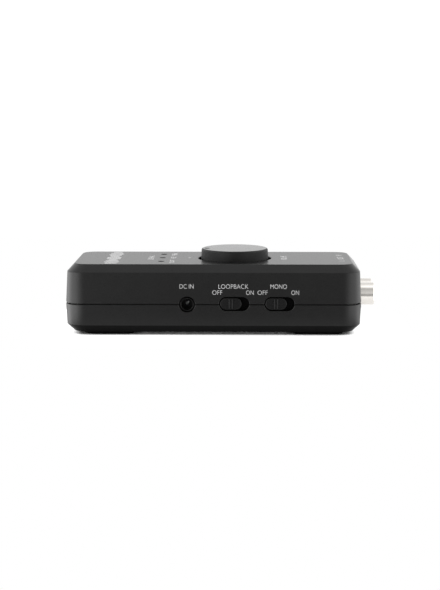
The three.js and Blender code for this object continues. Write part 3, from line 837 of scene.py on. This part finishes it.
CAP = Vector((7.7, 4.3)) * MM / 2
CAP_RECESS = 0.25 * MM
CAP_EDGE = 0.35 * MM
RIB_PITCH = 1.1 * MM
RIB_WIDTH = 0.45 * MM
RIB_INSET = 0.3 * MM  # how far each end stops short of the cap's edge
RIB_ROOT = 0.4 * MM
RIB_EDGE = 0.2 * MM
RIB_STEPS = 6
GROOVE = 0.2 * MM  # a shallow line beside each rib
GROOVE_INSET = 0.45 * MM
GROOVE_DEPTH = 0.15 * MM
FLANGE = 1.0 * MM
FLANGE_GAP = 0.25 * MM  # between the flange and the wall's inner face
CAP_GAP = 0.05 * MM  # between the cap and the flange
PRONG = Vector((1.0, 2.0, 3.0)) * MM
PRONG_OFFSET = 1.75 * MM
PRONG_ROOT = 0.8 * MM
SHUTTER_CORNER = 1.2 * MM
SHUTTER_EDGE = 0.1 * MM
SHUTTER_STEPS = 8


def switch_place(node):
    """Where a switch's shutter starts, and how far it is from there out to the wall's face."""
    flange_back = FRONT + WALL + FLANGE_GAP + FLANGE
    centre = middle(node)
    return at(centre.x, flange_back, centre.z, TO_FRONT), flange_back - FRONT


def slide_cap(node):
    """The oval button with its two ribs, and the prongs that hold the switch's lever."""
    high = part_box(node)[1]
    centre = middle(node)
    place, reach = switch_place(node)
    face = reach - CAP_RECESS
    cap = slab(CAP.x, CAP.y, CAP.y - HAIR, FLANGE + CAP_GAP, face, place, CAP_EDGE)
    ribs = [
        slab(
            RIB_WIDTH / 2, CAP.y - RIB_INSET, RIB_WIDTH / 2 - HAIR, face - RIB_ROOT, reach,
            place @ at(side * RIB_PITCH / 2, 0, 0), RIB_EDGE, RIB_STEPS,
        )
        for side in (-1, 1)
    ]
    grooves = [
        slab(
            GROOVE / 2, CAP.y - GROOVE_INSET, GROOVE / 2 - HAIR,
            face - GROOVE_DEPTH, reach + PAST,
            place @ at(side * (RIB_PITCH + RIB_WIDTH + GROOVE) / 2, 0, 0), steps=RIB_STEPS,
        )
        for side in (-1, 1)
    ]
    prongs = [
        brick(PRONG, Vector((centre.x + side * PRONG_OFFSET, high.y - PRONG_ROOT, centre.z)))
        for side in (-1, 1)
    ]
    return together(cut(join(cap, *ribs), *grooves), *prongs)


def slide_shutter(node):
    """The plate behind the button, which closes the slot at both ends of its travel."""
    low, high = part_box(node)
    size = (high - low) / 2
    place = switch_place(node)[0]
    return slab(size.x, size.z, SHUTTER_CORNER, 0, FLANGE, place, SHUTTER_EDGE, SHUTTER_STEPS)


for name in SWITCHES:
    node = f"{name}_slider"
    body = f"{name}_switch"
    piece(f"{name}_slide_cap", slide_cap(node), node, slot="slider", body=body)
    # The shutter, set back in the slot, takes the darker copy of the slider plastic: painted shade.
    piece(
        f"{name}_slide_shutter", slide_shutter(node),
        slot="slider", body=body, material=SHUTTER_PAINTED_SHADE_PLASTIC,
    )

# ---------------------------------------------------------------- power socket

DC_NOSE = 4.7 * MM / 2
DC_NOSE_LENGTH = 8.6 * MM
DC_NOSE_EDGE = 0.12 * MM
DC_BLOCK_EDGE = 0.2 * MM
DC_BORE = 4.1 * MM / 2
DC_BORE_DEPTH = 8.0 * MM
DC_BORE_MOUTH = 0.15 * MM
DC_PIN = 1.35 * MM / 2
DC_PIN_TIP = 0.3 * MM
DC_PIN_DEPTH = 2.0 * MM  # how much shorter the pin is than its place in the frame
DC_PIN_SLIT = Vector((0.25, 3.0, 3.0)) * MM


def dc_socket():
    """The socket's block and the round nose that reaches out through the wall."""
    low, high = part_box("dc_socket_body")
    block_front = high.y - DC_NOSE_LENGTH
    block = brick(
        Vector((high.x - low.x, high.y - block_front, high.z - low.z)),
        Vector((DC_AT.x, (high.y + block_front) / 2, (high.z + low.z) / 2)),
        DC_BLOCK_EDGE,
    )
    place = at(DC_AT.x, low.y, DC_AT.z, TO_FRONT)
    nose = round_nose(DC_NOSE, low.y - block_front - PAST, DC_NOSE_EDGE, place)
    return cut(join(block, nose), round_hole(DC_BORE, DC_BORE_DEPTH, place, DC_BORE_MOUTH))


def dc_pin():
    """The centre pin, with a cone for its tip and a slit across it."""
    low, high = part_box("dc_socket_pin")
    length = high.y - low.y - DC_PIN_DEPTH
    profile = softened(
        [(0, 0), (DC_PIN, 0), (DC_PIN, length - DC_PIN_TIP), (0, length)], [0, 0, DC_PIN_TIP, 0]
    )
    pin = turned(profile, at(DC_AT.x, high.y, DC_AT.z, TO_FRONT), SMALL_SIDES)
    slit = brick(DC_PIN_SLIT, Vector((0, 0, 0)), SLIT_EDGE)
    slit.transform(at(DC_AT.x, high.y - length, DC_AT.z, Matrix.Rotation(math.pi / 4, 4, "Y")))
    return cut(pin, slit)


piece("dc_socket_shell", dc_socket(), "dc_socket_body", slot="socket_plastic")
# The pin takes the darker copy of the nickel: painted shade.
piece("dc_socket_centre_pin", dc_pin(), "dc_socket_pin", slot="nickel", material=PIN_PAINTED_SHADE_METAL)

# ---------------------------------------------------------------- phono sockets

BARREL = 8.25 * MM / 2
BARREL_BORE = 7.0 * MM / 2
BARREL_EDGES = (0.48 * MM, 0.12 * MM)  # rounding outside and inside its rim
INSULATOR = 5.6 * MM / 2
CONTACT_HOLE = 3.3 * MM / 2
INSULATOR_EDGES = (0.2 * MM, 0.3 * MM)
CONTACT = 2.9 * MM / 2
CONTACT_BORE = 2.3 * MM / 2
CONTACT_EDGES = (0.1 * MM, 0.1 * MM)
CONTACT_SIDES = 48
CONTACT_SLOTS = (Vector((4.0, 0.3, 5.0)) * MM, Vector((4.0, 5.0, 0.3)) * MM)
CONTACT_SLOT_DEPTH = 1.5 * MM  # of the middle of both slots below the contact's rim


def phono_tube(node, outer, inner, edges, sides=SIDES):
    """A tube along a node's length, whose rounded rim faces the right end."""
    low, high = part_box(node)
    place = at(low.x, middle(node).y, middle(node).z, TO_RIGHT)
    return tube(outer, inner, high.x - low.x, *edges, place, sides)


def phono_contact(node):
    """A sprung tube, split by two crossed slots at its mouth."""
    centre = middle(node)
    mouth = Vector((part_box(node)[1].x - CONTACT_SLOT_DEPTH, centre.y, centre.z))
    spring = phono_tube(node, CONTACT, CONTACT_BORE, CONTACT_EDGES, CONTACT_SIDES)
    return cut(spring, *(brick(size, mouth, SLIT_EDGE) for size in CONTACT_SLOTS))


for end in ("front", "rear"):
    barrel, insulator, contact = (
        f"phono_{part}_{end}" for part in ("barrel", "insulator", "contact")
    )
    piece(
        f"phono_sleeve_{end}", phono_tube(barrel, BARREL, BARREL_BORE, BARREL_EDGES),
        barrel, slot=SLOT_OF[barrel],
    )
    piece(
        f"phono_liner_{end}", phono_tube(insulator, INSULATOR, CONTACT_HOLE, INSULATOR_EDGES),
        insulator, slot=SLOT_OF[insulator],
    )
    piece(f"phono_spring_{end}", phono_contact(contact), contact, slot=SLOT_OF[contact])

# ---------------------------------------------------------------- device port

PORT_GAP = 0.6 * MM  # between its block and the wall's inner face
PORT_EDGE = 0.3 * MM
PORT_NOSE = 11.5 * MM / 2
PORT_BORE = 9.6 * MM / 2
PORT_BORE_DEPTH = 8.0 * MM
SHIELD_WALL = 0.25 * MM
SHIELD_EDGE = 0.1 * MM
PORT_CORE = 7.9 * MM / 2
PORT_CORE_EDGE = 0.2 * MM
PIN_HOLE = 1.1 * MM / 2
PIN_HOLE_DEPTH = 5.0 * MM
PIN_HOLE_MOUTH = 0.12 * MM
PIN_HOLE_SIDES = 32
PIN_SLEEVE = 0.94 * MM / 2
PIN_SLEEVE_BORE = 0.64 * MM / 2
PIN_SLEEVE_LENGTH = 3.2 * MM
PIN_SLEEVE_EDGE = 0.05 * MM
PIN_SLEEVE_BACK = 4.2 * MM  # how deep in its hole each sleeve starts
PIN_ROWS = [  # height of each row of pin holes, and how far across they are
    (1.9 * MM, (-1.3 * MM, 1.3 * MM)),
    (0.2 * MM, (-2.7 * MM, -0.9 * MM, 0.9 * MM, 2.7 * MM)),
    (-1.6 * MM, (-1.9 * MM, 1.9 * MM)),
]
KEYWAY = Vector((2.2, 1.2)) * MM / 2
KEYWAY_CORNER = 0.25 * MM
KEYWAY_DEPTH = 5.0 * MM
KEYWAY_MOUTH = 0.1 * MM
KEYWAY_INSET = 0.3 * MM  # how far its middle lies inside the core's edge


def port_housing():
    """The port's block and the round nose that fills the opening in the wall."""
    low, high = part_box("device_port_housing")
    block_front = LEFT + WALL + PORT_GAP
    place = at(low.x, PORT_AT.y, PORT_AT.z, TO_LEFT)
    block = brick(
        Vector((high.x - block_front, high.y - low.y, high.z - low.z)),
        Vector(((high.x + block_front) / 2, (high.y + low.y) / 2, (high.z + low.z) / 2)),
        PORT_EDGE,
    )
    nose = round_nose(PORT_NOSE, low.x - block_front - PAST, PORT_EDGE, place)
    return cut(join(block, nose), round_hole(PORT_BORE, PORT_BORE_DEPTH, place, PORT_EDGE))


def port_shield():
    """The thin metal tube round the core."""
    low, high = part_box("device_port_shield")
    outer = (high.y - low.y) / 2
    place = at(high.x, PORT_AT.y, PORT_AT.z, TO_LEFT)
    return tube(outer, outer - SHIELD_WALL, high.x - low.x, SHIELD_EDGE, SHIELD_EDGE, place)


def pin_places(deeper=0.0):
    """Where each pin hole starts, or a place further down it."""
    return [
        at(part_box("device_port_core")[0].x + deeper, PORT_AT.y + across, PORT_AT.z + up, TO_LEFT)
        for up, row in PIN_ROWS
        for across in row
    ]


def port_core():
    """The core with its pin holes, and a keyway in its lower edge."""
    low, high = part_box("device_port_core")
    place = at(low.x, PORT_AT.y, PORT_AT.z, TO_LEFT)
    core = round_nose(PORT_CORE, low.x - high.x, PORT_CORE_EDGE, place)
    keyway = hole(
        *KEYWAY, KEYWAY_CORNER, KEYWAY_DEPTH, place @ at(0, KEYWAY_INSET - PORT_CORE, 0),
        KEYWAY_MOUTH,
    )
    pin_holes = [
        round_hole(PIN_HOLE, PIN_HOLE_DEPTH, pin_place, PIN_HOLE_MOUTH, PIN_HOLE_SIDES)
        for pin_place in pin_places()
    ]
    return cut(core, keyway, *pin_holes)


def port_contacts():
    """A sprung sleeve down in each pin hole."""
    return together(*(
        tube(
            PIN_SLEEVE, PIN_SLEEVE_BORE, PIN_SLEEVE_LENGTH, PIN_SLEEVE_EDGE, PIN_SLEEVE_EDGE,
            place, TINY_SIDES,
        )
        for place in pin_places(PIN_SLEEVE_BACK)
    ))


piece("device_port_case", port_housing(), "device_port_housing", slot="socket_plastic")
piece("device_port_ring", port_shield(), "device_port_shield", slot="nickel")
piece("device_port_insert", port_core(), "device_port_core", slot="socket_plastic")
piece("device_port_contacts", port_contacts(), slot="gold")

# ---------------------------------------------------------------- headset socket

FERRULE = 6.0 * MM / 2
FERRULE_BORE = 3.6 * MM / 2
FERRULE_BEVEL = Vector((0.4, 0.3)) * MM  # across and along
FERRULE_EDGES = (0.2 * MM, 0.3 * MM, 0.45 * MM)  # rounding from the outside to the bore


def headset_ferrule():
    """The metal ring round the headset socket's bore."""
    low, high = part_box("headset_socket_ferrule")
    length = high.x - low.x
    profile = softened(
        [
            (FERRULE_BORE, 0),
            (FERRULE, 0),
            (FERRULE, length - FERRULE_BEVEL.y),
            (FERRULE - FERRULE_BEVEL.x, length),
            (FERRULE_BORE, length),
        ],
        [0, 0, *FERRULE_EDGES],
        closed=True,
    )
    return turned(profile, at(high.x, HEADSET_AT.y, HEADSET_AT.z, TO_LEFT), wrap=True)


piece("headset_ring", headset_ferrule(), "headset_socket_ferrule", slot="nickel")

# ---------------------------------------------------------------- light pipes

LENS_RECESS = 0.5 * MM
LENS_EDGE = 0.25 * MM
PIPE = 1.9 * MM / 2
PIPE_EDGE = 0.1 * MM
COLLAR = 3.2 * MM / 2
COLLAR_TOP = TOP - WALL - 0.1 * MM
COLLAR_LOW = TOP - WALL - 1.0 * MM
COLLAR_ROOT = TOP - WALL - 1.2 * MM


def light_pipe(node):
    """A clear rod whose collar sits below the top face, and whose end is the lens."""
    low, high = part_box(node)
    centre = middle(node)
    lens_top = high.z - LENS_RECESS
    profile = softened(
        [
            (0, low.z),
            (PIPE, low.z),
            (PIPE, COLLAR_ROOT),
            (COLLAR, COLLAR_LOW),
            (COLLAR, COLLAR_TOP),
            (PIPE, COLLAR_TOP),
            (PIPE, lens_top),
            (0, lens_top),
        ],
        [0, PIPE_EDGE, 0, 0, 0, 0, LENS_EDGE, 0],
    )
    return turned(profile, at(centre.x, centre.y, 0), SMALL_SIDES)


for where in LED_PLACES:
    node = f"level_light_pipe_{where}"
    piece(f"level_lens_{where}", light_pipe(node), node, slot="lens")

# ---------------------------------------------------------------- legends

INK_DEPTH = 0.02 * MM
SAME_TEXT_POINT = 1e-6  # points of a letter nearer than this, in text heights, are one


def glyphs(text, width, height, place, weight):
    """Printed capitals that fill a width and a cap height, centred at a place.

    weight makes the strokes bolder, or lighter where it is under 0.
    """
    curve = bpy.data.curves.new("text", "FONT")
    curve.body = text
    curve.extrude = 0.5
    curve.offset = weight
    shape = bpy.data.objects.new("text", curve)
    bpy.context.scene.collection.objects.link(shape)
    bpy.context.view_layer.update()
    graph = bpy.context.evaluated_depsgraph_get()
    data = bpy.data.meshes.new_from_object(shape.evaluated_get(graph))
    mesh = bmesh.new()
    mesh.from_mesh(data)
    bpy.data.objects.remove(shape)
    bpy.data.curves.remove(curve)
    bpy.data.meshes.remove(data)
    bmesh.ops.remove_doubles(mesh, verts=mesh.verts, dist=SAME_TEXT_POINT)
    low = Vector(min(vert.co[axis] for vert in mesh.verts) for axis in range(3))
    high = Vector(max(vert.co[axis] for vert in mesh.verts) for axis in range(3))
    size = high - low
    fit = Matrix.Diagonal((width / size.x, height / size.y, 2 * INK_DEPTH / size.z, 1))
    mesh.transform(place @ fit @ Matrix.Translation(-(low + high) / 2))
    return mesh


def on_front(x, z):
    """A place on the sloping front wall for something printed there."""
    slope = math.atan2(TOP_DRAFT, TOP_CHAMFER - SEAM)
    return at(x, FRONT + upper_lean(z), z, Matrix.Rotation(math.pi / 2 - slope, 4, "X"))


def on_top(x, y):
    """A place on the top face, where print reads from the front wall towards the rear."""
    return at(x, y, TOP, Matrix.Rotation(math.pi / 2, 4, "Z"))


FRONT_CAPS = 1.55 * MM
FRONT_WEIGHT = -0.014
NAME_LINE = 17.8 * MM
STATE_LINE = 15.65 * MM
OFF_OFFSET = -5.7 * MM
ON_OFFSET = 5.85 * MM
DC_NAME_OFFSET = -0.15 * MM
SWITCH_NAME_OFFSET = -0.3 * MM

# Each legend's words, their width and where they are.
FRONT_LEGENDS = [("DC IN", 4.95 * MM, DC_AT.x + DC_NAME_OFFSET, NAME_LINE)]
for switch, name, width in (("loopback", "LOOPBACK", 10.6), ("mono", "MONO", 5.8)):
    x = middle(f"{switch}_switch_body").x + SWITCH_NAME_OFFSET
    FRONT_LEGENDS += [
        (name, width * MM, x, NAME_LINE),
        ("OFF", 3.55 * MM, x + OFF_OFFSET, STATE_LINE),
        ("ON", 2.7 * MM, x + ON_OFFSET, STATE_LINE),
    ]

# The front print takes the darker copy of the ink: painted shade.
piece(
    "front_legends",
    together(*(
        glyphs(text, width, FRONT_CAPS, on_front(x, z), FRONT_WEIGHT)
        for text, width, x, z in FRONT_LEGENDS
    )),
    material=FRONT_INK_PAINTED_SHADE,
)

# Where each column of print lies along the top face.
WAVEFORM_X = CASE_X - 36.8 * MM
SIGNAL_X = CASE_X - 23.2 * MM
LEVELS_X = CASE_X - 15.0 * MM
INDEX_X = CASE_X - 9.0 * MM
VOLUME_X = CASE_X + 25.5 * MM
OUTPUTS_X = CASE_X + 46.3 * MM

# Each legend's words, their width and height, and where they are.
TOP_LEGENDS = [
    ("SIGNAL", 11.0 * MM, 2.0 * MM, SIGNAL_X, 0),
    ("QUIET", 7.4 * MM, 1.9 * MM, LEVELS_X, LEDS[0].y),
    ("MID", 4.8 * MM, 1.9 * MM, LEVELS_X, LEDS[1].y),
    ("PEAK", 6.6 * MM, 1.9 * MM, LEVELS_X, LEDS[2].y),
    ("VOLUME", 11.0 * MM, 2.2 * MM, VOLUME_X, 0),
    ("L    OUT    R", 18.5 * MM, 2.1 * MM, OUTPUTS_X, 0),
]

BARS = 11
BAR_PITCH = 3.2 * MM
BAR_WIDTH = 1.5 * MM
BAR_LEAST = 1.5 * MM  # half the length of the shortest bar
BAR_SWING = 1.3 * MM  # how much longer than that the longest bar's half is
BAR_WAVE = 0.9  # how far the wave moves on from bar to bar, in radians
BAR_START = 0.6
BAR_STEPS = 5
INDEX_DOT = 0.6 * MM


def waveform():
    """A row of upright rounded bars, like a sound's waveform."""
    bars = []
    for i in range(BARS):
        y = (i - (BARS - 1) / 2) * BAR_PITCH
        half = BAR_LEAST + BAR_SWING * abs(math.sin(i * BAR_WAVE + BAR_START))
        bars.append(
            slab(
                BAR_WIDTH / 2, half, BAR_WIDTH / 2 - HAIR, -INK_DEPTH, INK_DEPTH,
                on_top(WAVEFORM_X, y), steps=BAR_STEPS,
            )
        )
    return bars


# The top print takes the lighter copy of the ink: painted light.
piece(
    "top_legends",
    together(
        *(
            glyphs(text, width, height, on_top(x, y), 0.0)
            for text, width, height, x, y in TOP_LEGENDS
        ),
        *waveform(),
        disc(INDEX_DOT, -INK_DEPTH, INK_DEPTH, on_top(INDEX_X, 0), TINY_SIDES),
    ),
    material=TOP_INK_PAINTED_LIGHT,
)

# ---------------------------------------------------------------- CAD nodes that are shown

for shape in frame["nodes"].values():
    weld = shape.modifiers.new("weld", "WELD")
    weld.merge_threshold = CAD_WELD
# The contact deep in the power socket's bore is painted near black: painted shade.
frame["nodes"]["dc_socket_contact"].data.materials[0] = BORE_PAINTED_SHADE_METAL

# ---------------------------------------------------------------- studio

FLOOR_HALF = (69.0 * MM, 44.0 * MM)  # half its length and half its width
FLOOR_GAP = 0.1 * MM
PAPER_GREYS = (grey(0.29), grey(0.30))
PAPER_PATCH = 300.0 * MM
PAPER_ROUGHNESS = 0.9
PAINTED_FLOOR_GLOW = 0.9  # painted glow of the paper, an emission on its shader
GLOW_REACH = 3.0 * MM  # how far round the object the painted glow is darkened into a painted contact shadow
GLOW_STEP = (0.2, 0.45)  # share of open sky where the painted glow starts, and where it is full

# Brightness of the room, by degrees from the horizon in front, up over the top, to the back,
# and on underneath to the front again.
ROOM = [
    (0, 0.36), (8, 0.85), (20, 0.75), (32, 0.7), (52, 0.6), (66, 0.8), (78, 1.75),
    (92, 1.5), (110, 1.1), (130, 1.0), (150, 1.05), (168, 1.2), (176, 1.2), (183, 1.65),
    (189, 0.45), (270, 0.37), (340, 0.28), (360, 0.36),
]
ROOM_PEAK = max(brightness for degrees, brightness in ROOM)

# A softbox on each side: its end of the room, and its brightness below and above eye level.
SOFTBOXES = [(-1, 6.6, 2.4), (1, 3.9, 1.7)]
# Where, along each axis of a direction, the softboxes' light starts and is full.
SIDE_STEP = (0.02, 0.75)
BACK_STEP = (1.0, 0.0)
LOWER_STEP = (0.05, -0.15)
UPPER_STEP = (1.0, 0.55)


def calculate(tree, operation, first, second=0.0):
    """A sum with two terms, each a number or another node's output."""
    node = tree.nodes.new("ShaderNodeMath")
    node.operation = operation
    for socket, value in zip(node.inputs, (first, second)):
        if isinstance(value, (int, float)):
            socket.default_value = value
        else:
            tree.links.new(value, socket)
    return node.outputs["Value"]


def smooth_step(tree, source, start, end, height=1.0):
    """A smooth rise from 0 at one value of the source to a height at another."""
    remap = add(tree, "ShaderNodeMapRange", From_Min=start, From_Max=end, To_Max=height)
    remap.interpolation_type = "SMOOTHSTEP"
    tree.links.new(source, remap.inputs["Value"])
    return remap.outputs["Result"]


def studio_floor():
    """A sheet of paper under the object with a painted glow, and a painted shadow where the object
    stands over it.
    """
    paper, tree, shader = nodes_of("studio_paper")
    patches = noise(tree, PAPER_PATCH)
    tree.links.new(tint(tree, patches, *PAPER_GREYS), shader.inputs["Base Color"])
    shader.inputs["Roughness"].default_value = PAPER_ROUGHNESS
    shader.inputs["Specular IOR Level"].default_value = 0.0
    shader.inputs["Emission Color"].default_value = (1, 1, 1, 1)
    shade = add(tree, "ShaderNodeAmbientOcclusion", Distance=GLOW_REACH)
    shade.samples = 8
    open_sky = smooth_step(tree, shade.outputs["AO"], *GLOW_STEP)
    glow = calculate(tree, "MULTIPLY", open_sky, PAINTED_FLOOR_GLOW)
    tree.links.new(glow, shader.inputs["Emission Strength"])
    mesh = bmesh.new()
    outline = rounded_rectangle(*FLOOR_HALF, FLOOR_HALF[1] / 2, -FLOOR_GAP)
    mesh.faces.new([mesh.verts.new(point) for point in outline])
    floor = stored(mesh, "studio_floor")
    floor.data.materials.append(paper)


def studio_world():
    """A white room to the eye, whose walls and softboxes light the object unevenly."""
    world = bpy.data.worlds.new("studio")
    world.use_nodes = True
    tree = world.node_tree
    direction = tree.nodes.new("ShaderNodeTexCoord")
    parts = tree.nodes.new("ShaderNodeSeparateXYZ")
    tree.links.new(direction.outputs["Generated"], parts.inputs["Vector"])
    forward = calculate(tree, "MULTIPLY", parts.outputs["Y"], -1.0)
    angle = calculate(tree, "ARCTAN2", parts.outputs["Z"], forward)
    turn = calculate(tree, "FRACT", calculate(tree, "DIVIDE", angle, 2 * math.pi))
    ramp = tree.nodes.new("ShaderNodeValToRGB")
    stops = ramp.color_ramp.elements
    while len(stops) < len(ROOM):
        stops.new(0.5)
    for stop, (degrees, brightness) in zip(stops, ROOM):
        stop.position = degrees / 360
        stop.color = (*grey(brightness / ROOM_PEAK), 1)
    tree.links.new(turn, ramp.inputs["Fac"])
    light = calculate(tree, "MULTIPLY", ramp.outputs["Color"], ROOM_PEAK)
    before_back = smooth_step(tree, parts.outputs["Y"], *BACK_STEP)
    for end, below, above in SOFTBOXES:
        side = smooth_step(tree, parts.outputs["X"], *(end * step for step in SIDE_STEP))
        side = calculate(tree, "MULTIPLY", side, before_back)
        lower = smooth_step(tree, parts.outputs["Z"], *LOWER_STEP, below - above)
        upper = smooth_step(tree, parts.outputs["Z"], *UPPER_STEP, above)
        box = calculate(tree, "MULTIPLY", side, calculate(tree, "ADD", lower, upper))
        light = calculate(tree, "ADD", light, box)
    seen = tree.nodes.new("ShaderNodeLightPath").outputs["Is Camera Ray"]
    background = tree.nodes["Background"]
    tree.links.new(calculate(tree, "MAXIMUM", light, seen), background.inputs["Strength"])
    background.inputs["Color"].default_value = (1, 1, 1, 1)
    bpy.context.scene.world = world


# ---------------------------------------------------------------- camera

CAMERA_LENS = 88.56
CAMERA_SENSOR = 36
CAMERA_CLIP = (0.01, 20)
CAMERA_AT = (7.39 * MM, -530.4 * MM, 91.55 * MM)
CAMERA_DIP = math.radians(8.582)  # how far it looks down
CAMERA_YAW = math.radians(0.859)


def studio_camera():
    """A camera in front of the long front wall, a little above the object."""
    camera = bpy.data.cameras.new("camera")
    camera.lens = CAMERA_LENS
    camera.sensor_width = CAMERA_SENSOR
    camera.clip_start, camera.clip_end = CAMERA_CLIP
    viewer = bpy.data.objects.new("camera", camera)
    viewer.location = CAMERA_AT
    viewer.rotation_euler = (math.pi / 2 - CAMERA_DIP, 0, CAMERA_YAW)
    bpy.context.scene.collection.objects.link(viewer)
    bpy.context.scene.camera = viewer


studio_floor()
studio_world()
studio_camera()
bpy.context.scene.view_settings.view_transform = "Standard"
